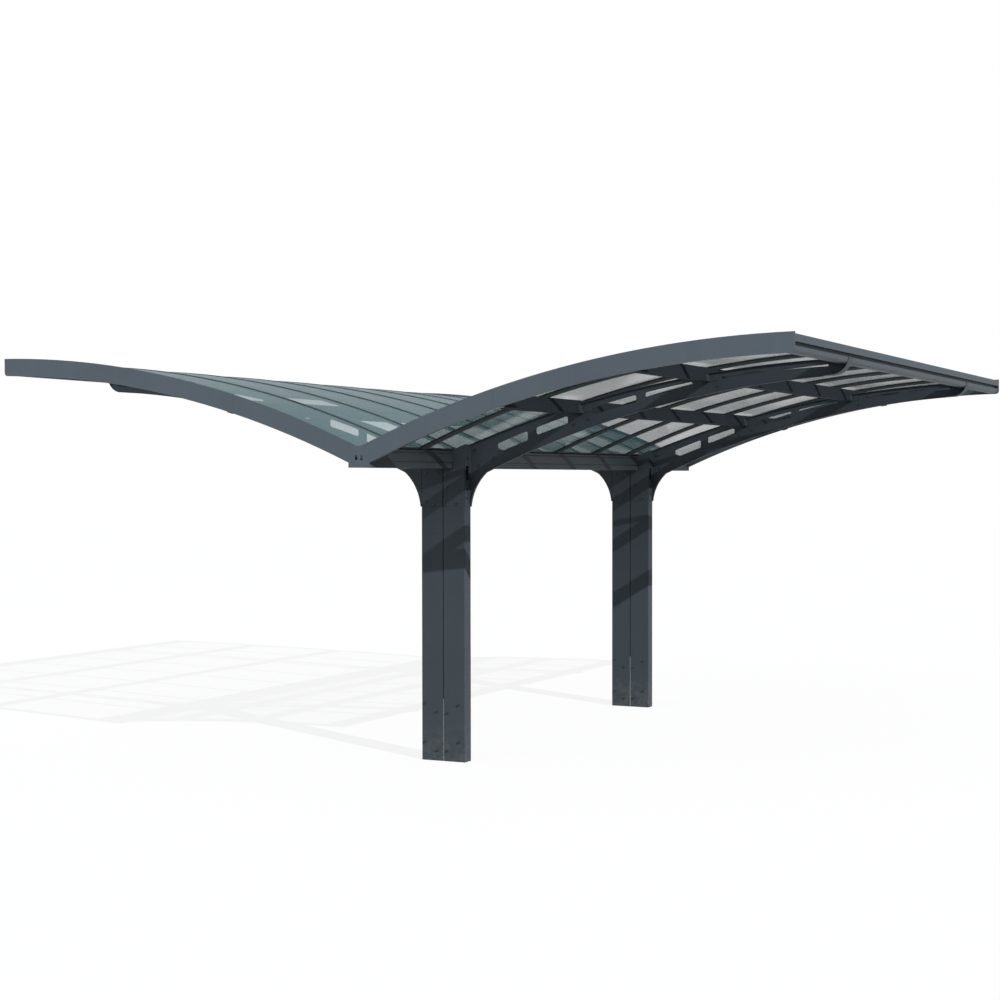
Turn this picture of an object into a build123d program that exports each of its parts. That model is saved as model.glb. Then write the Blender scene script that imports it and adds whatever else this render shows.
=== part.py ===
from build123d import *
import math
import os

# Butterfly carport for two cars: two posts in line carry curved arms, and the two roof wings drain to
# a gutter between them. Millimetres. X runs across the wings, Y along the gutter with the front at
# minus, Z up from the ground.

# Overall size
roof_length = 5400
eave_x = 2836

# Roof arc of a wing, measured on the top edge of its fascia
roof_radius = 7115
roof_centre_x = 2915
roof_crown_z = 2736

# Play between parts that touch, and the overlap that joins the strips of one part
play = 0.2
bite = 0.01

# Fascias, their splice and the lips that hold the outer panels
fascia_height = 119
fascia_t = 3
fascia_lip = 22
fascia_corner_r = 26
splice_x = 940
splice_gap = 1
splice_width = 90
splice_t = 3
splice_clear = 8

# Roof panels and the bars between them
bays = 8
panel_t = 3
panel_depth = 16
panel_side_play = 2
valley_lap_x = 46
bar_setback = 4
bar_cap_width = 32
bar_cap_t = 3.8
bar_neck = 6
bar_base_width = 24
bar_base_height = 20
bar_wall = 2

# Valley gutter between the wings
gutter_half_width = 75.4
gutter_height = 117.4
gutter_low_height = 44
gutter_step = 5
gutter_rim = 12
gutter_groove = 8
gutter_groove_depth = 4
gutter_t = 3
closure_width = 16
closure_height = 8
cap_flat_half = 20
cap_slot_width = 18
cap_slot_height = 31
cap_slot_x = 19
cap_slot_rise = 63

# Eave beams: an upper band, a groove and a rounded lower band
eave_top_drop = 11.5
eave_band = 44
eave_groove = 22
eave_low_band = 39
eave_groove_depth = 24
eave_lower_setback = 10
eave_width = 72
eave_corner_r = 26
eave_t = 2.5

# Posts, each of two folded channels
post_y = 1593.5
post_half_width = 166.7
post_depth = 85.6
post_t = 3
seam = 6
fold_r = 5

# Post heads between the posts and the gutter, and the arm roots beside them
head_height = 258
head_gap = 0.3
head_clear = 0.4
saddle_inset = 1
flare_r = 346
flare_reach = 230
flare_lead = 31
flare_lip = 6.5
port_drop = 78
port_height = 95
port_width = 46
port_offset_y = -8

# Arms, pressed pans open to the front
arm_t = 3
arm_top_r = 7996
arm_top_drop_root = 39.3
arm_top_drop_eave = 76.1
arm_low_r = 6796
arm_deep_x = 600
arm_deep_drop = 262.8
arm_low_drop_eave = 179.5
arm_nose_r = 120
arm_nose_bite = 0.5
hook_t = 4
hook_play = 2
slot_top_depth = 110
slot_corner_r = 12
slots = (
    (375, 600, 58),
    (665, 896, 48),
    (1062, 1385, 46),
    (1450, 1776, 30),
    (1968, 2276, 15),
    (2350, 2677, 12),
)

# Purlins along the roof and the brackets at the arms
purlin_x = (985, 1880)
purlin_height = 88
purlin_flange = 40
purlin_t = 2.5
purlin_play = 0.4
bracket_leg = 60
bracket_t = 4
bracket_clear = 4

# Foot brackets inside the posts
foot_t = 5
foot_height = 420
foot_play = 0.4
anchor_x = 95
anchor_hole_r = 7

roof_centre_z = roof_crown_z - roof_radius
end_y = roof_length / 2
inner_y = end_y - fascia_t
bay = roof_length / bays
bar_ys = [bay * (i - bays / 2) for i in range(1, bays)]
panel_low = panel_depth + panel_t
bar_base_depth = panel_low + play + bar_base_height
eave_inner_x = eave_x - eave_width


def arc_z(x, depth, radius=roof_radius, cx=roof_centre_x, cz=roof_centre_z):
    """Height of an arc at x, a depth below its radius."""
    return cz + math.sqrt((radius - depth) ** 2 - (x - cx) ** 2)


def arc_centre(x0, z0, x1, z1, radius):
    """Centre of the arc that bulges up between two points, the first on the left."""
    half = math.hypot(x1 - x0, z1 - z0) / 2
    rise = math.sqrt(radius ** 2 - half ** 2) / (2 * half)
    return (x0 + x1) / 2 + rise * (z1 - z0), (z0 + z1) / 2 - rise * (x1 - x0)


def disc(cx, cz, radius):
    return Pos(cx, cz) * Circle(radius)


def rect(x0, z0, x1, z1):
    return Pos((x0 + x1) / 2, (z0 + z1) / 2) * Rectangle(abs(x1 - x0), z1 - z0)


def band(depth0, depth1, x0, x1):
    """Strip of the roof section between two depths below the fascia top."""
    outer = disc(roof_centre_x, roof_centre_z, roof_radius - depth0)
    inner = disc(roof_centre_x, roof_centre_z, roof_radius - depth1)
    return (outer - inner) & rect(x0, 0, x1, roof_crown_z)


def run_y(profile, y0, y1):
    """Profile drawn in X and Z, extruded from y0 to y1."""
    return Pos(0, y1, 0) * extrude(Plane.XZ * profile, amount=y1 - y0)


def block(x0, y0, z0, x1, y1, z1):
    return Pos((x0 + x1) / 2, (y0 + y1) / 2, (z0 + z1) / 2) * Box(x1 - x0, y1 - y0, z1 - z0)


def corner_at(face, x, highest=False):
    """Lowest or highest corner of a section that lies at x."""
    corners = [v for v in face.vertices() if abs(v.X - x) < 1]
    return sorted(corners, key=lambda v: v.Y)[-1 if highest else 0]


def to_left(shape):
    return mirror(shape, about=Plane.YZ)


def to_rear(shape):
    return mirror(shape, about=Plane.XZ)


def turned(shape):
    """The same piece turned half round, as the arms of the left wing are."""
    return Rot(0, 0, 180) * shape


def save(name, *solids):
    shape = solids[0] if len(solids) == 1 else Compound(children=list(solids))
    export_step(shape, f"parts/{name}.step")


os.makedirs("parts", exist_ok=True)

# Fascia of the front right wing, in two lengths with a splice plate behind the seam
def fascia_length(x0, x1):
    plate = band(0, fascia_height, x0, x1)
    foot = band(fascia_height - fascia_t, fascia_height, x0, x1)
    lip_top = band(panel_depth - play - bar_cap_t, panel_depth - play, x0, x1)
    lip_low = band(panel_low + play, panel_low + play + bar_cap_t, x0, x1)
    if x1 == eave_x:
        plate = fillet(corner_at(plate, eave_x), fascia_corner_r)
        inside = rect(x0, 0, eave_inner_x - 1, roof_crown_z)
        foot = foot & inside
        lip_top = lip_top & inside
        lip_low = lip_low & inside
    solid = run_y(plate, -end_y, -inner_y)
    for lip in (foot, lip_top, lip_low):
        solid += run_y(lip, -inner_y - bite, -inner_y + fascia_lip)
    return solid


fascia_root_x = gutter_half_width + head_clear
fascia_inner = fascia_length(fascia_root_x, splice_x - splice_gap / 2)
fascia_outer = fascia_length(splice_x + splice_gap / 2, eave_x)
splice = run_y(band(panel_low + splice_clear, fascia_height - fascia_t - 1,
                    splice_x - splice_width / 2, splice_x + splice_width / 2),
               -inner_y + play, -inner_y + play + splice_t)
front_right_fascia = [fascia_inner, fascia_outer]
save("front_right_fascia", *front_right_fascia)
save("front_left_fascia", *[to_left(s) for s in front_right_fascia])
save("rear_right_fascia", *[to_rear(s) for s in front_right_fascia])
save("rear_left_fascia", *[to_rear(to_left(s)) for s in front_right_fascia])
save("fascia_splice_plates", splice, to_left(splice), to_rear(splice), to_rear(to_left(splice)))

# Roof panels, one between each pair of bars
side_names = (("right", lambda s: s), ("left", to_left))
panel_profile = band(panel_depth, panel_low, valley_lap_x, eave_inner_x - play)
edges = [-inner_y] + bar_ys + [inner_y]
for side, place in side_names:
    for i in range(bays):
        y0 = edges[i] + panel_side_play + (bar_neck / 2 if i else 0)
        y1 = edges[i + 1] - panel_side_play - (bar_neck / 2 if i < bays - 1 else 0)
        save(f"{side}_roof_panel_{i + 1}", place(run_y(panel_profile, y0, y1)))

# Bars that hold the panels: a cap above, a neck between the panels and a hollow base below
bar_x0 = valley_lap_x + bar_setback
bar_x1 = eave_inner_x - play
cap = band(panel_depth - play - bar_cap_t, panel_depth - play, bar_x0, bar_x1)
neck = band(panel_depth - play - bite, panel_low + play + bite, bar_x0, bar_x1)
base = band(panel_low + play, bar_base_depth, bar_x0, bar_x1)
bore = band(panel_low + play + bar_wall, bar_base_depth - bar_wall, bar_x0 - 1, bar_x1 + 1)
bars = []
for y in bar_ys:
    bar = run_y(cap, y - bar_cap_width / 2, y + bar_cap_width / 2)
    bar += run_y(neck, y - bar_neck / 2, y + bar_neck / 2)
    bar += run_y(base, y - bar_base_width / 2, y + bar_base_width / 2)
    bar -= run_y(bore, y - bar_base_width / 2 + bar_wall, y + bar_base_width / 2 - bar_wall)
    bars.append(bar)
for side, place in side_names:
    save(f"{side}_glazing_bars", *[place(b) for b in bars])

# Valley gutter, an open trough folded in at a step
g = gutter_half_width
gutter_top_z = arc_z(g - gutter_t, bar_base_depth) - play
gutter_bottom_z = gutter_top_z - gutter_height
gutter_step_z = gutter_bottom_z + gutter_low_height
trough = rect(-g, gutter_step_z, g, gutter_top_z)
trough += rect(-g + gutter_step, gutter_bottom_z, g - gutter_step, gutter_step_z)
hollow = rect(-g + gutter_t, gutter_step_z + gutter_t, g - gutter_t, gutter_top_z + 1)
hollow += rect(-g + gutter_step + gutter_t, gutter_bottom_z + gutter_t,
               g - gutter_step - gutter_t, gutter_step_z + gutter_t + 1)
groove_x = g - gutter_groove_depth
groove_top_z = gutter_top_z - gutter_rim
groove_low_z = groove_top_z - gutter_groove
for side in (-1, 1):
    hollow -= rect(side * (groove_x - gutter_t), groove_low_z - gutter_t,
                   side * (g + 1), groove_top_z + gutter_t)
    trough -= rect(side * groove_x, groove_low_z, side * (g + 1), groove_top_z)
save("valley_gutter", run_y(trough - hollow, -inner_y + play, inner_y - play))

# Closures that stiffen the low edges of the panels over the gutter
closure_profile = band(panel_low + play, panel_low + play + closure_height,
                       valley_lap_x, valley_lap_x + closure_width)
closures = []
for i in range(bays):
    y0 = edges[i] + (bar_base_width / 2 if i else fascia_lip) + play
    y1 = edges[i + 1] - (bar_base_width / 2 if i < bays - 1 else fascia_lip) - play
    closures.append(run_y(closure_profile, y0, y1))
save("valley_closures", *closures, *[to_left(c) for c in closures])

# End caps of the gutter, with a notched top and two slots
cap_half = rect(0, gutter_bottom_z, g, roof_crown_z)
cap_half &= disc(roof_centre_x, roof_centre_z, roof_radius)
cap_half += rect(0, gutter_bottom_z, cap_flat_half, arc_z(cap_flat_half, 0))
cap_slot_z = gutter_bottom_z + cap_slot_rise
cap_half -= rect(cap_slot_x - cap_slot_width / 2, cap_slot_z - cap_slot_height / 2,
                 cap_slot_x + cap_slot_width / 2, cap_slot_z + cap_slot_height / 2)
cap_plate = run_y(cap_half, -end_y, -inner_y)
front_cap = cap_plate + to_left(cap_plate)
save("gutter_end_caps", front_cap, to_rear(front_cap))

# Eave beams, hollow, running between the fascias
eave_top_z = arc_z(eave_x, 0) - eave_top_drop
eave_band_z = eave_top_z - eave_band
eave_groove_z = eave_band_z - eave_groove
eave_bottom_z = eave_groove_z - eave_low_band
eave_lower_x = eave_x - eave_lower_setback
eave_face = rect(eave_inner_x, eave_bottom_z, eave_x, eave_top_z)
eave_face -= rect(eave_x - eave_groove_depth, eave_groove_z, eave_x + 1, eave_band_z)
eave_face -= rect(eave_lower_x, eave_bottom_z - 1, eave_x + 1, eave_groove_z + bite)
eave_face = fillet(corner_at(eave_face, eave_lower_x), eave_corner_r)
eave_core = offset(eave_face, -eave_t, kind=Kind.INTERSECTION)
eave_beam = run_y(eave_face - eave_core, -inner_y + play, inner_y - play)
save("right_eave_beam", eave_beam)
save("left_eave_beam", to_left(eave_beam))

# Posts, each of two channels with their open sides together
post_top_z = gutter_bottom_z - head_height
post_ends = (("front", -post_y), ("rear", post_y))


def channel(z0, z1):
    outer = rect(seam / 2, -post_depth / 2, post_half_width, post_depth / 2)
    outer = fillet([corner_at(outer, post_half_width, h) for h in (False, True)], fold_r)
    inner = rect(0, -post_depth / 2 + post_t, post_half_width - post_t, post_depth / 2 - post_t)
    return Pos(0, 0, z0) * extrude(outer - inner, amount=z1 - z0)


post_half = channel(0, post_top_z)
for end, y in post_ends:
    save(f"{end}_post_right_half", Pos(0, y, 0) * post_half)
    save(f"{end}_post_left_half", Pos(0, y, 0) * to_left(post_half))

# Foot brackets, a base plate with an upright against each face of the post
foot_x = post_half_width - post_t - foot_play
foot_y = post_depth / 2 - post_t - foot_play
foot = block(-foot_x, -foot_y, 0, foot_x, foot_y, foot_t)
for y in (-foot_y, foot_y - foot_t):
    foot += block(-foot_x, y, 0, foot_x, y + foot_t, foot_height)
for x in (-anchor_x, anchor_x):
    foot -= Pos(x, 0, 0) * Cylinder(anchor_hole_r, foot_t * 4)
for end, y in post_ends:
    save(f"{end}_foot_bracket", Pos(0, y, 0) * foot)

# Arcs of the arm, set by how far they lie below the fascia top
arm_root_x = post_half_width + head_clear
arm_top_x, arm_top_z = arc_centre(arm_root_x, arc_z(arm_root_x, 0) - arm_top_drop_root,
                                  eave_x, arc_z(eave_x, 0) - arm_top_drop_eave, arm_top_r)
arm_low_x, arm_low_z = arc_centre(arm_deep_x, arc_z(arm_deep_x, 0) - arm_deep_drop,
                                  eave_x, arc_z(eave_x, 0) - arm_low_drop_eave, arm_low_r)

# Post heads, channels like the post that reach up beside the gutter and carry it on a saddle
saddle_z = gutter_bottom_z - head_clear
head = channel(post_top_z + head_gap, roof_crown_z)
head &= run_y(disc(arm_top_x, arm_top_z, arm_top_r), -post_depth, post_depth)
head -= block(-g - head_clear, -post_depth, saddle_z, g + head_clear, post_depth, roof_crown_z)
head += block(seam / 2, -post_depth / 2 + saddle_inset, saddle_z - post_t,
              post_half_width - saddle_inset, post_depth / 2 - saddle_inset, saddle_z)
port_z = gutter_bottom_z - port_drop
port = block(post_half_width - 2 * post_t, port_offset_y - port_width / 2, port_z,
             post_half_width + 4 * post_t, port_offset_y + port_width / 2, port_z + port_height)
head -= port
for end, y in post_ends:
    save(f"{end}_post_head", Pos(0, y, 0) * head, Pos(0, y, 0) * turned(head))

# Arms: a pan with its web at the back, flanged all round, the root flared down the post head.
# The left arm is the same pan turned half round, so its web is at the front.
arm_end_x = eave_lower_x + hook_play + hook_t
flare_x = arm_root_x + flare_lip + flare_r
flare_z = post_top_z - flare_lead
nose_x = arm_end_x - arm_nose_r
nose_z = arc_z(nose_x, arm_nose_bite - arm_nose_r, arm_low_r, arm_low_x, arm_low_z)
nose_start_x = arm_low_x + (nose_x - arm_low_x) * arm_low_r / (arm_low_r + arm_nose_r)


def arm_outline(inset):
    """Side view of the right arm, or the same drawn in by the thickness of its flanges."""
    face = disc(arm_top_x, arm_top_z, arm_top_r - inset) - disc(arm_low_x, arm_low_z, arm_low_r + inset)
    face &= rect(arm_root_x + inset, post_top_z, arm_end_x - inset, roof_crown_z)
    nose = rect(nose_start_x, post_top_z, arm_end_x + 1, nose_z)
    face -= nose - disc(nose_x, nose_z, arm_nose_r - inset)
    flare = rect(arm_root_x + inset, post_top_z + head_gap + inset,
                 arm_root_x + flare_reach, flare_z + flare_r)
    face += flare - disc(flare_x, flare_z, flare_r + inset)
    room_x = eave_lower_x + hook_play + inset
    room = rect(eave_inner_x - head_clear - inset, eave_bottom_z - head_clear - inset,
                room_x, roof_crown_z)
    face -= fillet(corner_at(room, room_x), eave_corner_r + hook_play + inset)
    return face - rect(eave_inner_x, eave_groove_z - inset, arm_end_x + 1, roof_crown_z)


web_y = post_depth / 2 - arm_t
pan = run_y(arm_outline(0), -post_depth / 2, post_depth / 2)
pan -= run_y(arm_outline(arm_t), -post_depth / 2 - 1, web_y)
pan -= port
for x0, x1, h in slots:
    hole = band(slot_top_depth, slot_top_depth + h, x0, x1)
    hole = fillet(hole.vertices(), min(slot_corner_r, h / 2 - 0.5))
    pan -= run_y(hole, web_y - 1, post_depth)

# Purlins: channels square to the roof, in lengths between the fascias and the arms
def purlin_place(x):
    lean = math.asin((roof_centre_x - x) / roof_radius)
    return Pos(x, 0, arc_z(x, bar_base_depth + play)) * Rot(0, -math.degrees(lean), 0)


def purlin_length(x, y0, y1):
    section = rect(-purlin_flange, -purlin_height, 0, 0)
    section -= rect(-purlin_flange - 1, -purlin_height + purlin_t, -purlin_t, -purlin_t)
    return purlin_place(x) * run_y(section, y0, y1)


for x in purlin_x:
    room = block(-purlin_flange - 1, -post_depth / 2 - 1, -purlin_height - 1, 1, web_y, 1)
    pan -= purlin_place(x) * room

for end, y in post_ends:
    save(f"{end}_right_arm", Pos(0, y, 0) * pan)
    save(f"{end}_left_arm", Pos(0, y, 0) * turned(pan))

web_faces = [y + web_y for end, y in post_ends]
purlin_ends = [-inner_y + fascia_lip + 1]
for y in web_faces:
    purlin_ends += [y - purlin_play, y + arm_t + purlin_play]
purlin_ends.append(inner_y - fascia_lip - 1)
for name, x in zip(("inner", "outer"), purlin_x):
    lengths = [purlin_length(x, purlin_ends[i], purlin_ends[i + 1]) for i in (0, 2, 4)]
    save(f"right_{name}_purlin", *lengths)
    save(f"left_{name}_purlin", *[turned(s) for s in lengths])

# Angle brackets that bolt the purlins to the arm webs, below the top flange of the arm
brackets = []
for x in purlin_x:
    flange_z = arc_z(x, arm_t, arm_top_r, arm_top_x, arm_top_z)
    top = flange_z - arc_z(x, bar_base_depth) - bracket_clear
    for y_web in web_faces:
        y1 = y_web - purlin_play
        plate = block(purlin_play, y1 - bracket_t, -purlin_height, bracket_leg, y1, top)
        plate += block(purlin_play, y1 - bracket_leg, -purlin_height, purlin_play + bracket_t, y1, top)
        brackets.append(purlin_place(x) * plate)
save("purlin_brackets", *brackets, *[turned(b) for b in brackets])
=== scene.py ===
import bmesh
import bpy
import math
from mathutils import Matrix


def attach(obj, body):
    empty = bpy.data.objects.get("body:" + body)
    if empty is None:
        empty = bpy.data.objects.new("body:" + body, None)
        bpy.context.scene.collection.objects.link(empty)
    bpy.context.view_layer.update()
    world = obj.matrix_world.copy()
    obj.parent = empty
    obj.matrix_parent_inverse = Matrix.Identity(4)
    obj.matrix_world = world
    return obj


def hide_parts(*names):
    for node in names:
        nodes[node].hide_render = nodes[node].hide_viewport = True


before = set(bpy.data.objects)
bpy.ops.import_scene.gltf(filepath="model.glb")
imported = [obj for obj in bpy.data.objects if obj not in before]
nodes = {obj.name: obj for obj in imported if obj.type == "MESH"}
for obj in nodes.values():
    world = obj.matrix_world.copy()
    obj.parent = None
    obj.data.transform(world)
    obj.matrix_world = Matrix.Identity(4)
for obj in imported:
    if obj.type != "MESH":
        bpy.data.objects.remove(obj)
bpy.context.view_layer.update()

# Posts: two in line, each of two folded steel channels side by side with an open seam between.
# Powder coated in satin anthracite. The foot bracket inside is bolted through the faces of the
# post, and the post head above the thin joint is bolted on in the same way.


class Wire:
    """A socket of a node tree. Arithmetic on wires adds the Math nodes that work it out."""

    def __init__(self, tree, socket=None):
        self.tree = tree
        self.socket = socket

    def make(self, kind, settings={}, sockets={}, output=0):
        node = self.tree.nodes.new(kind)
        for name, value in settings.items():
            setattr(node, name, value)
        for name, value in sockets.items():
            if isinstance(value, Wire):
                self.tree.links.new(value.socket, node.inputs[name])
            else:
                node.inputs[name].default_value = value
        return Wire(self.tree, node.outputs[output]) if len(node.outputs) else None

    def maths(self, operation, *values, clamp=False):
        return self.make("ShaderNodeMath", {"operation": operation, "use_clamp": clamp},
                         dict(enumerate(values)))

    def __add__(self, other):
        return self.maths("ADD", self, other)

    def __rsub__(self, other):
        return self.maths("SUBTRACT", other, self)

    def __mul__(self, other):
        return self.maths("MULTIPLY", self, other)

    __radd__ = __add__
    __rmul__ = __mul__

    def limited(self):
        return self.maths("ADD", self, 0.0, clamp=True)

    def from_to(self, low, high):
        """0 below low and 1 above high, with a soft step between them."""
        return self.make("ShaderNodeMapRange", {"interpolation_type": "SMOOTHSTEP"},
                         {0: self, 1: low, 2: high, 3: 0.0, 4: 1.0})

    def noise(self, place, scale, detail=2.0, stretch=(1, 1, 1)):
        placed = self.make("ShaderNodeMapping", {}, {"Vector": place, "Scale": stretch})
        return self.make("ShaderNodeTexNoise", {},
                         {"Vector": placed, "Scale": scale, "Detail": detail})

    def colours(self, factor, first, second):
        """Colour between two others, by a factor."""
        return self.make("ShaderNodeMix", {"data_type": "RGBA"},
                         {0: factor, 6: first, 7: second}, output=2)


def shade(colour, level):
    return (colour[0] * level, colour[1] * level, colour[2] * level, 1)


def start_finish(name):
    """A material with an empty tree, its wire, and the wires of the place on the object."""
    material = bpy.data.materials.new(name)
    material.use_nodes = True
    material.node_tree.nodes.clear()
    wire = Wire(material.node_tree)
    place = wire.make("ShaderNodeTexCoord", output="Object")
    split = material.node_tree.nodes.new("ShaderNodeSeparateXYZ")
    wire.tree.links.new(place.socket, split.inputs[0])
    return material, wire, place, [Wire(wire.tree, split.outputs[i]) for i in range(3)]


def end_finish(wire, **sockets):
    """Ends a tree in a Principled shader with these sockets, spaces written as underscores."""
    named = {name.replace("_", " "): value for name, value in sockets.items()}
    surface = wire.make("ShaderNodeBsdfPrincipled", {}, named)
    wire.make("ShaderNodeOutputMaterial", {}, {"Surface": surface})


def powder_coat(name, colour, roughness, gloss, groove=None):
    """Baked powder paint: cloudy by a few percent, with a fine orange peel, rain streaks and dust
    low down. A groove gets painted shade: near-black between two heights, up to a distance from the
    gutter."""
    material, wire, place, (x, y, z) = start_finish(name)
    cloud = wire.noise(place, 1.7, 4.0)
    streak = wire.noise(place, 9.0, 3.0, (1.0, 1.0, 0.06)).from_to(0.48, 0.72)
    peel = wire.noise(place, 420.0, 2.0)
    speck = wire.noise(place, 160.0, 1.0).from_to(0.70, 0.78)
    splash = (1 - z.from_to(0.02, 0.34)) * wire.noise(place, 26.0, 5.0).from_to(0.35, 0.75)
    paint = wire.colours(cloud, shade(colour, 0.88), shade(colour, 1.12))
    paint = wire.colours(streak * 0.16, paint, shade(colour, 1.35))
    paint = wire.colours(speck * 0.25, paint, shade(colour, 1.8))
    paint = wire.colours(splash * 0.30, paint, (0.20, 0.185, 0.16, 1))
    if groove:
        low, high, depth = groove
        # Painted shade: the groove is made near-black, standing in for the shade inside its
        # channel.
        inside = z.from_to(low, low + 0.001) * (1 - z.from_to(high - 0.001, high))
        inside = inside * (1 - wire.maths("ABSOLUTE", x).from_to(depth - 0.001, depth))
        paint = wire.colours(inside * 0.85, paint, (0.008, 0.010, 0.012, 1))
    rough = roughness + cloud * 0.10 + streak * 0.08 + splash * 0.20
    bump = wire.make("ShaderNodeBump", {}, {"Strength": 0.35, "Distance": 0.0004, "Height": peel})
    end_finish(wire, Base_Color=paint, Roughness=rough, Normal=bump, Specular_IOR_Level=gloss)
    return material


def dress(material, slot_name, *names):
    """Gives CAD nodes their finish."""
    for name in names:
        piece = nodes[name]
        piece.data.materials.clear()
        piece.data.materials.append(material)


anthracite = powder_coat("anthracite_coat", (0.054, 0.068, 0.081), 0.42, 0.15)
post_y = 1.5935
face_out = 0.0428
post_ends = (("front", -post_y), ("rear", post_y))
for end, y in post_ends:
    dress(anthracite, "frame_paint", f"{end}_post_right_half", f"{end}_post_left_half",
          f"{end}_post_head")

# Foot brackets: folded plates hidden in the posts, hot-dip galvanised, with the dull grey spangle
# that zinc leaves. They stand on the ground and carry the posts by the bolts through their faces.
zinc, wire, place, _ = start_finish("galvanised_steel")
spangle = wire.make("ShaderNodeTexVoronoi", {}, {"Vector": place, "Scale": 70.0}, output="Color")
level = wire.make("ShaderNodeSeparateColor", {}, {0: spangle})
bloom = wire.noise(place, 14.0, 4.0)
end_finish(wire,
           Base_Color=wire.colours(level, (0.40, 0.41, 0.42, 1), (0.60, 0.61, 0.62, 1)),
           Metallic=0.9,
           Roughness=0.38 + bloom * 0.25 + level * 0.08)
dress(zinc, "zinc", "front_foot_bracket", "rear_foot_bracket")

# Bolts of the posts: low hexagon heads on thin washers, coated like the steel but a little darker,
# in pairs of rows at the foot and the head. Each face of each post has the same set.
post_bolts = (
    (-0.143, 0.387), (-0.054, 0.331), (0.028, 0.328), (0.112, 0.383),
    (-0.144, 0.124), (-0.052, 0.067), (0.027, 0.072), (0.117, 0.132),
    (-0.133, 1.950), (-0.041, 1.955), (0.041, 1.957), (-0.134, 1.758),
    (0.113, 1.841), (0.031, 1.854), (-0.071, 1.739), (0.015, 1.741), (0.106, 1.744),
)
bolt_coat, wire, place, _ = start_finish("dark_zinc_bolt")
rubbed = wire.noise(place, 240.0, 3.0).from_to(0.45, 0.75)
end_finish(wire,
           Base_Color=wire.colours(rubbed, (0.030, 0.036, 0.043, 1), (0.075, 0.082, 0.090, 1)),
           Metallic=0.5,
           Roughness=0.40 + rubbed * 0.20)


def bolt_tree(material):
    """Geometry Nodes that set a hexagon head and a washer on each point, turned to its normal."""
    tree = bpy.data.node_groups.new("bolts_on_points", "GeometryNodeTree")
    tree.interface.new_socket("Points", in_out="INPUT", socket_type="NodeSocketGeometry")
    for name, size in (("Head Radius", 0.0072), ("Head Height", 0.0052), ("Washer Radius", 0.0098)):
        socket = tree.interface.new_socket(name, in_out="INPUT", socket_type="NodeSocketFloat")
        socket.default_value = size
    tree.interface.new_socket("Geometry", in_out="OUTPUT", socket_type="NodeSocketGeometry")
    wire = Wire(tree)
    entry = tree.nodes.new("NodeGroupInput")
    points, head_r, head_h, washer_r = [Wire(tree, entry.outputs[i]) for i in range(4)]
    washer_t = 0.0016
    washer = wire.make("GeometryNodeMeshCylinder", {},
                       {"Vertices": 20, "Radius": washer_r, "Depth": washer_t})
    washer = wire.make("GeometryNodeTransform", {},
                       {"Geometry": washer, "Translation": (0, 0, washer_t / 2)})
    head = wire.make("GeometryNodeMeshCylinder", {},
                     {"Vertices": 6, "Radius": head_r, "Depth": head_h})
    rise = wire.make("ShaderNodeCombineXYZ", {}, {2: head_h * 0.5 + washer_t})
    head = wire.make("GeometryNodeTransform", {}, {"Geometry": head, "Translation": rise})
    dome = wire.make("GeometryNodeMeshCone", {},
                     {"Vertices": 18, "Radius Bottom": head_r * 0.82, "Radius Top": head_r * 0.55,
                      "Depth": 0.0013})
    lift = wire.make("ShaderNodeCombineXYZ", {}, {2: head_h + washer_t})
    dome = wire.make("GeometryNodeTransform", {}, {"Geometry": dome, "Translation": lift})
    join = tree.nodes.new("GeometryNodeJoinGeometry")
    for part in (dome, head, washer):
        tree.links.new(part.socket, join.inputs[0])
    normal = wire.make("GeometryNodeInputNamedAttribute", {"data_type": "FLOAT_VECTOR"},
                       {"Name": "outward"})
    turn = wire.make("FunctionNodeAlignRotationToVector", {"axis": "Z"}, {"Vector": normal})
    spin = wire.make("FunctionNodeRandomValue", {"data_type": "FLOAT"},
                     {2: 0.0, 3: 1.05, "Seed": 7}, output=1)
    own = wire.make("FunctionNodeAxisAngleToRotation", {}, {"Axis": (0, 0, 1), "Angle": spin})
    turn = wire.make("FunctionNodeRotateRotation", {"rotation_space": "LOCAL"}, {0: turn, 1: own})
    placed = wire.make("GeometryNodeInstanceOnPoints", {},
                       {"Points": points, "Instance": Wire(tree, join.outputs[0]),
                        "Rotation": turn})
    solid = wire.make("GeometryNodeRealizeInstances", {}, {"Geometry": placed})
    finished = wire.make("GeometryNodeSetMaterial", {}, {"Geometry": solid, "Material": material})
    exit_node = tree.nodes.new("NodeGroupOutput")
    tree.links.new(finished.socket, exit_node.inputs[0])
    return tree


bolts_on_points = bolt_tree(bolt_coat)


def make_repeats(name, tree, points, sizes, outward=None, edges=()):
    """Runs a tree on points or lines, and keeps the plain mesh that it makes as a piece."""
    seed = bpy.data.meshes.new(name + "_points")
    seed.from_pydata(points, edges, [])
    if outward is not None:
        way = seed.attributes.new("outward", "FLOAT_VECTOR", "POINT")
        way.data.foreach_set("vector", [c for v in outward for c in v])
    holder = bpy.data.objects.new(name + "_points", seed)
    bpy.context.scene.collection.objects.link(holder)
    modifier = holder.modifiers.new("repeat", "NODES")
    modifier.node_group = tree
    for item in tree.interface.items_tree:
        if item.in_out == "INPUT" and item.name in sizes:
            modifier[item.identifier] = sizes[item.name]
    bpy.context.view_layer.update()
    evaluated = holder.evaluated_get(bpy.context.evaluated_depsgraph_get())
    mesh = bpy.data.meshes.new_from_object(evaluated)
    bpy.data.objects.remove(holder)
    piece = bpy.data.objects.new(name, mesh)
    mesh.name = name
    bpy.context.scene.collection.objects.link(piece)
    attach(piece, "root")


places, ways = [], []
for _, y in post_ends:
    for x, z in post_bolts:
        for side in (-1, 1):
            places.append((x, y + side * face_out, z))
            ways.append((0, side, 0))
make_repeats("post_bolts", bolts_on_points, places, {}, ways)

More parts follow.
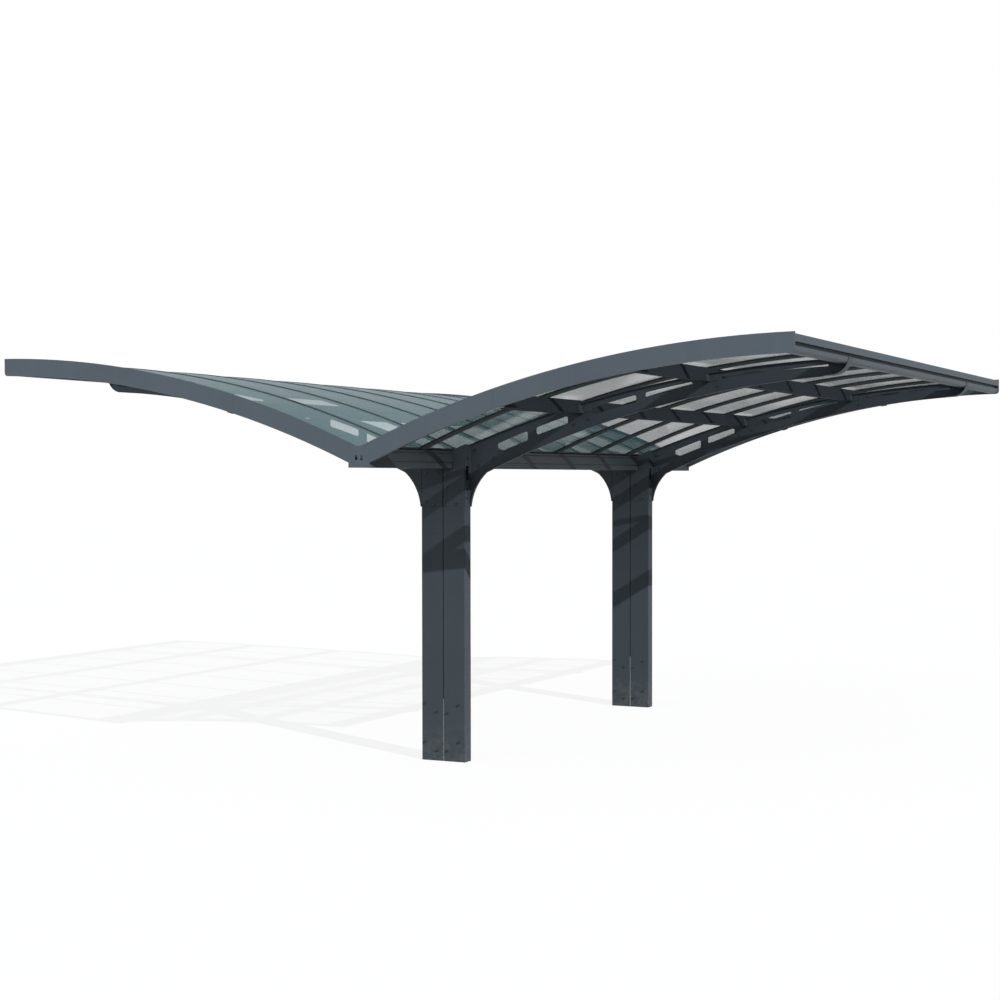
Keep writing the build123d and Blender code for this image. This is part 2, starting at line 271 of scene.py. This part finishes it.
# Arms: one pressed steel pan four times over, so the right arms open to the front and the left
# ones, turned half round, to the rear. Slots run along the web. The root flange is bolted to the
# post head, and each purlin hangs on a bracket at the web.
dress(anthracite, "frame_paint", "purlin_brackets")
web_out, web_in = 0.0428, 0.0398
flange_width = 0.018
flange_clear = 0.06
root_inner_x = 0.1704
tip_start_x = 2.665
cut_low, cut_height = 1.6, 1.3


def press_arm(name, side, y):
    """The CAD pan with its flanges cut back to a narrow fold, but wide at the root and the tip."""
    mesh = nodes[name].data.copy()
    work = bmesh.new()
    work.from_mesh(mesh)
    bmesh.ops.remove_doubles(work, verts=work.verts, dist=0.00001)
    work.to_mesh(mesh)
    work.free()
    arm = bpy.data.objects.new(name + "_pressed", mesh)
    bpy.context.scene.collection.objects.link(arm)
    away = bmesh.new()
    bmesh.ops.create_cube(away, size=1.0)
    xs = (side * root_inner_x, side * tip_start_x)
    ys = (y - side * flange_clear, y + side * (web_out - flange_width))
    for corner in away.verts:
        corner.co = (xs[corner.co.x > 0], ys[corner.co.y > 0],
                     cut_low + cut_height * (corner.co.z > 0))
    bmesh.ops.recalc_face_normals(away, faces=away.faces)
    cut_mesh = bpy.data.meshes.new(name + "_cut")
    away.to_mesh(cut_mesh)
    away.free()
    cutter = bpy.data.objects.new(name + "_cut", cut_mesh)
    bpy.context.scene.collection.objects.link(cutter)
    trim = arm.modifiers.new("trim", "BOOLEAN")
    trim.object = cutter
    trim.operation = "DIFFERENCE"
    trim.solver = "EXACT"
    bpy.context.view_layer.update()
    evaluated = arm.evaluated_get(bpy.context.evaluated_depsgraph_get())
    trimmed = bpy.data.meshes.new_from_object(evaluated)
    arm.modifiers.clear()
    arm.data = trimmed
    bpy.data.objects.remove(cutter)
    trimmed.materials.clear()
    trimmed.materials.append(anthracite)
    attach(arm, "root")
    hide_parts(name)


for end, y in post_ends:
    press_arm(f"{end}_right_arm", 1, y)
    press_arm(f"{end}_left_arm", -1, y)
web_bolts = ((0.232, 2.002), (0.341, 2.049), (0.205, 2.108), (1.045, 2.306), (0.962, 2.359),
             (0.940, 2.270), (1.948, 2.500), (1.842, 2.512), (1.852, 2.560))
root_bolts = (1.782, 1.842, 2.052)
root_face_x, root_bolt_y = 0.1701, 0.012
places, ways = [], []
for _, y in post_ends:
    for side in (-1, 1):
        for x, z in web_bolts:
            places += [(side * x, y + side * web_in, z), (side * x, y + side * web_out, z)]
            ways += [(0, -side, 0), (0, side, 0)]
        for z in root_bolts:
            places.append((side * root_face_x, y - side * root_bolt_y, z))
            ways.append((side, 0, 0))
make_repeats("arm_bolts", bolts_on_points, places, {}, ways)

# Purlins: folded channels in three lengths a row, between the fascias and the arms. Their coat is
# the arms' coat darkened as painted shade for the shadowed channels, and nearly matt.
painted_shade_purlin_coat = powder_coat("purlin_coat", (0.030, 0.038, 0.046), 0.60, 0.04)
dress(painted_shade_purlin_coat, "frame_paint", "right_inner_purlin", "right_outer_purlin", "left_inner_purlin",
      "left_outer_purlin")

# Fascias: rolled blue-grey profiles with a top lip, in two lengths with a thin splice seam.
# The same powder coat as the gutter's end caps, lighter than the steel.
blue_grey = powder_coat("blue_grey_coat", (0.096, 0.121, 0.144), 0.38, 0.22)
dress(blue_grey, "trim_paint", "front_right_fascia", "front_left_fascia", "rear_right_fascia",
      "rear_left_fascia", "fascia_splice_plates", "gutter_end_caps")

# Eave beams: extruded edge profiles with an upper band, a deep groove and a rounded lower band,
# in the trim's paint but a little duller. Its colour is darkened as painted shade, and the groove
# is painted near-black as shade in its channel.
eave_coat = powder_coat("eave_coat", (0.070, 0.089, 0.107), 0.44, 0.22, (2.6576, 2.6806, 2.8345))
dress(eave_coat, "trim_paint", "right_eave_beam", "left_eave_beam")

# Gutter: an aluminium trough in the frame's colour along the whole valley, with silt along its
# bottom where rain dries.
trough, wire, place, (x, y, z) = start_finish("gutter_coat")
cloud = wire.noise(place, 2.2, 4.0)
silt = wire.noise(place, 11.0, 5.0, (1, 0.25, 1))
tide = (1 - z.from_to(1.990, 2.030)) * silt.from_to(0.30, 0.75)
peel = wire.noise(place, 420.0, 2.0)
coat = wire.colours(cloud, (0.047, 0.059, 0.070, 1), (0.062, 0.077, 0.090, 1))
end_finish(wire,
           Base_Color=wire.colours(tide * 0.35, coat, (0.11, 0.105, 0.09, 1)),
           Roughness=0.40 + cloud * 0.10 + tide * 0.25,
           Specular_IOR_Level=0.2,
           Normal=wire.make("ShaderNodeBump", {},
                            {"Strength": 0.3, "Distance": 0.0004, "Height": peel}))
dress(trough, "frame_paint", "valley_gutter", "valley_closures")

# Glazing bars: extruded dark aluminium between the sheets, seven to a wing. Each has fine drawn
# lines along it and a dull anodised gloss.
drawn, wire, place, _ = start_finish("dark_anodised_bar")
line = wire.noise(place, 3.0, 3.0, (0.4, 260.0, 0.4))
cloud = wire.noise(place, 2.6, 3.0)
end_finish(wire,
           Base_Color=wire.colours(line * 0.5 + cloud * 0.5, (0.030, 0.038, 0.041, 1),
                                   (0.060, 0.074, 0.078, 1)),
           Metallic=0.35,
           Roughness=0.36 + line * 0.16,
           Normal=wire.make("ShaderNodeBump", {},
                            {"Strength": 0.25, "Distance": 0.0003, "Height": line}))
dress(drawn, "bar_paint", "right_glazing_bars", "left_glazing_bars")

# Roof sheets: smoke-tinted plastic, eight to a wing, taken to be twin-wall with flutes 10 mm apart
# down the slope. A little dust gathers along the bars and at the low edge over the gutter.
flute_pitch, bar_pitch = 0.010, 0.675
sheet, wire, place, (x, y, z) = start_finish("smoke_polycarbonate")
flute = wire.maths("SINE", y * (2 * math.pi / flute_pitch)) * 0.5 + 0.5
bay = wire.maths("PINGPONG", y, bar_pitch / 2)
by_bar = (1 - bay.from_to(0.014, 0.075)) * wire.noise(place, 2.4, 2.0)
near_x = 1 - wire.maths("ABSOLUTE", x).from_to(0.10, 0.42)
dust = by_bar * 0.45 + near_x * wire.noise(place, 2.0, 2.0).from_to(0.3, 0.7) * 0.4
haze = wire.noise(place, 0.8, 2.0)
glancing = wire.maths("POWER", wire.make("ShaderNodeLayerWeight", output="Facing"), 4.0)
tint = wire.colours(haze, (0.022, 0.145, 0.172, 1), (0.034, 0.175, 0.205, 1))
end_finish(wire,
           Base_Color=wire.colours(dust * 0.5, tint, (0.28, 0.30, 0.29, 1)),
           Alpha=(0.13 + glancing * 0.62 + flute * 0.02 + haze * 0.03 + dust * 0.10).limited(),
           Roughness=0.16 + haze * 0.06 + dust * 0.20,
           IOR=1.58,
           Normal=wire.make("ShaderNodeBump", {},
                            {"Strength": 0.06, "Distance": 0.0006, "Height": flute}))
for side in ("right", "left"):
    dress(sheet, "roof_sheet", *[f"{side}_roof_panel_{i}" for i in range(1, 9)])

# Black beads: rubber seals along both edges of every glazing bar, above and below the sheets, three
# beads along each side of the gutter, and strips that close the low ends of the sheets. The same
# black is painted shade where beads stand for shade lines: in the gutter and at the posts' joints.
seal_and_shade_black, wire, place, _ = start_finish("black_seal_and_painted_shade")
bloom = wire.noise(place, 5.0, 4.0).from_to(0.35, 0.75)
end_finish(wire,
           Base_Color=wire.colours(bloom, (0.012, 0.013, 0.014, 1), (0.032, 0.034, 0.035, 1)),
           Roughness=0.55 + bloom * 0.20)
dress(seal_and_shade_black, "bar_paint", "valley_closures")
fascia_top, arc_radius, arc_middle_x = 2.736, 7.115, 2.915


def roof_z(x, depth):
    """Height of the roof's arc at a distance from the gutter, a depth below the fascia's top."""
    rise = math.sqrt((arc_radius - depth) ** 2 - (x - arc_middle_x) ** 2)
    return fascia_top - arc_radius + rise


def bead_tree(material):
    """Geometry Nodes that run a round bead along lines."""
    tree = bpy.data.node_groups.new("bead_along_lines", "GeometryNodeTree")
    tree.interface.new_socket("Lines", in_out="INPUT", socket_type="NodeSocketGeometry")
    socket = tree.interface.new_socket("Radius", in_out="INPUT", socket_type="NodeSocketFloat")
    socket.default_value = 0.0018
    tree.interface.new_socket("Geometry", in_out="OUTPUT", socket_type="NodeSocketGeometry")
    wire = Wire(tree)
    entry = tree.nodes.new("NodeGroupInput")
    lines, radius = [Wire(tree, entry.outputs[i]) for i in range(2)]
    path = wire.make("GeometryNodeMeshToCurve", {}, {"Mesh": lines})
    ring = wire.make("GeometryNodeCurvePrimitiveCircle", {}, {"Resolution": 8, "Radius": radius})
    bead = wire.make("GeometryNodeCurveToMesh", {},
                     {"Curve": path, "Profile Curve": ring, "Fill Caps": True})
    solid = wire.make("GeometryNodeRealizeInstances", {}, {"Geometry": bead})
    finished = wire.make("GeometryNodeSetMaterial", {}, {"Geometry": solid, "Material": material})
    exit_node = tree.nodes.new("NodeGroupOutput")
    tree.links.new(finished.socket, exit_node.inputs[0])
    return tree


bead_along_lines = bead_tree(seal_and_shade_black)
bar_start, bar_end, bar_steps = 0.0505, 2.7635, 28
bead_rows = ((-0.0166, 0.0145), (0.0166, 0.0145), (-0.0128, 0.0205), (0.0128, 0.0205))
places, joins = [], []
for side in (-1, 1):
    for bar in range(-3, 4):
        for off, depth in bead_rows:
            for step in range(bar_steps + 1):
                along = bar_start + (bar_end - bar_start) * step / bar_steps
                if step:
                    joins.append((len(places) - 1, len(places)))
                places.append((side * along, bar * bar_pitch + off, roof_z(along, depth)))
make_repeats("bar_seals", bead_along_lines, places, {"Radius": 0.0017}, edges=joins)
gutter_end_y = 2.695
# Two beads in the groove under the gutter's rim, taken as seals that also darken the groove as
# painted shade, and one at the lower crease, painted shade for the step there.
gutter_lines = ((0.0733, 2.0825), (0.0733, 2.0865), (0.0728, 2.0252))
places, joins = [], []
for side in (-1, 1):
    for x, height in gutter_lines:
        joins.append((len(places), len(places) + 1))
        places += [(side * x, -gutter_end_y, height), (side * x, gutter_end_y, height)]
make_repeats("gutter_seals_and_shade_beads", bead_along_lines, places, {"Radius": 0.0020}, edges=joins)

# Joint beads: a thin dark bead round each post, where the post head stands on it. It stands for
# the dark line that shows there, as painted shade for the joint's thin gap; that the line is a
# seal is a guess.
joint_x, joint_out, joint_z = 0.1664, 0.0425, 1.7253
joint_corners = ((-joint_x, -joint_out), (joint_x, -joint_out), (joint_x, joint_out),
                 (-joint_x, joint_out))
places, joins = [], []
for _, y in post_ends:
    first = len(places)
    for x, off in joint_corners:
        joins.append((len(places), first + (len(places) - first + 1) % 4))
        places.append((x, y + off, joint_z))
make_repeats("joint_shade_beads", bead_along_lines, places, {"Radius": 0.0019}, edges=joins)

# Rivets of the fascia splices: four through each plate, seen from inside the roof. They are
# smaller than the bolts, with thin round washers.
rivet_xs, rivet_depths, rivet_y = (0.914, 0.966), (0.048, 0.094), 2.6937
places, ways = [], []
for end in (-1, 1):
    for side in (-1, 1):
        for x in rivet_xs:
            for depth in rivet_depths:
                places.append((side * x, end * rivet_y, roof_z(x, depth)))
                ways.append((0, -end, 0))
make_repeats("splice_rivets", bolts_on_points, places,
             {"Head Radius": 0.0040, "Head Height": 0.0024, "Washer Radius": 0.0056}, ways)

# Floor: a plain pale studio floor. The camera sees it nearly white, and it keeps the object's
# shadow. Other rays see it darker, so that it throws little light up on the part.
reach = 60
floor_mesh = bpy.data.meshes.new("floor")
floor_corners = [(-reach, -reach, 0), (reach, -reach, 0), (reach, reach, 0), (-reach, reach, 0)]
floor_mesh.from_pydata(floor_corners, [], [(0, 1, 2, 3)])
floor = bpy.data.objects.new("floor", floor_mesh)
bpy.context.scene.collection.objects.link(floor)
pale = bpy.data.materials.new("studio_floor")
pale.use_nodes = True
pale.node_tree.nodes.clear()
wire = Wire(pale.node_tree)
bounce = wire.make("ShaderNodeBsdfDiffuse", {}, {"Color": (0.20, 0.20, 0.20, 1)})
lit = wire.make("ShaderNodeBsdfDiffuse", {}, {"Color": (0.60, 0.60, 0.61, 1)})
glow = wire.make("ShaderNodeEmission", {}, {"Color": (1, 1, 1, 1), "Strength": 1.18})
seen = wire.make("ShaderNodeLightPath", output="Is Camera Ray")
mirrored = wire.make("ShaderNodeLightPath", output="Is Glossy Ray")
white = wire.make("ShaderNodeMixShader", {}, {0: 0.72, 1: lit, 2: glow})
mixed = wire.make("ShaderNodeMixShader", {}, {0: wire.maths("MAXIMUM", seen, mirrored * 0.8),
                                              1: bounce, 2: white})
wire.make("ShaderNodeOutputMaterial", {}, {"Surface": mixed})
floor_mesh.materials.append(pale)

# Light: one low sun from the front right, a wide soft light from the front and an even pale sky.
# The sky is white where the camera looks at it.
sun = bpy.data.lights.new("sun", "SUN")
sun.energy = 3.3
sun.angle = math.radians(0.35)
lamp = bpy.data.objects.new("sun", sun)
lamp.rotation_euler = (math.radians(61.6), 0, math.radians(63.2))
bpy.context.scene.collection.objects.link(lamp)
front = bpy.data.lights.new("front_fill", "SUN")
front.energy = 0.95
front.angle = math.radians(100)
front.specular_factor = 0.3
lamp = bpy.data.objects.new("front_fill", front)
lamp.rotation_euler = (math.radians(72), 0, math.radians(-8))
bpy.context.scene.collection.objects.link(lamp)
world = bpy.data.worlds.new("studio")
bpy.context.scene.world = world
world.use_nodes = True
world.node_tree.nodes.clear()
wire = Wire(world.node_tree)
sky = wire.make("ShaderNodeBackground", {}, {"Color": (0.93, 0.97, 1.0, 1), "Strength": 0.28})
white = wire.make("ShaderNodeBackground", {}, {"Color": (1, 1, 1, 1), "Strength": 1.0})
seen = wire.make("ShaderNodeLightPath", output="Is Camera Ray")
bare = wire.make("ShaderNodeLightPath", output="Is Transmission Ray")
mirrored = wire.make("ShaderNodeLightPath", output="Is Glossy Ray")
both = wire.maths("MAXIMUM", wire.maths("MAXIMUM", seen, bare), mirrored * 0.40)
mixed = wire.make("ShaderNodeMixShader", {}, {0: both, 1: sky, 2: white})
wire.make("ShaderNodeOutputWorld", {}, {"Surface": mixed})
bpy.context.scene.view_settings.view_transform = "Standard"

# Camera: where the photograph was taken, solved from the corners of the roof, the gutter and
# the posts.
camera = bpy.data.cameras.new("view")
camera.lens = 64.586
camera.sensor_width = 36
camera.shift_x = -0.1
camera.shift_y = 0.02
eye = bpy.data.objects.new("view", camera)
eye.location = (5.9665, -12.2454, 1.9201)
eye.rotation_euler = (math.radians(88.6535), 0, math.radians(24.351))
bpy.context.scene.collection.objects.link(eye)
bpy.context.scene.camera = eye
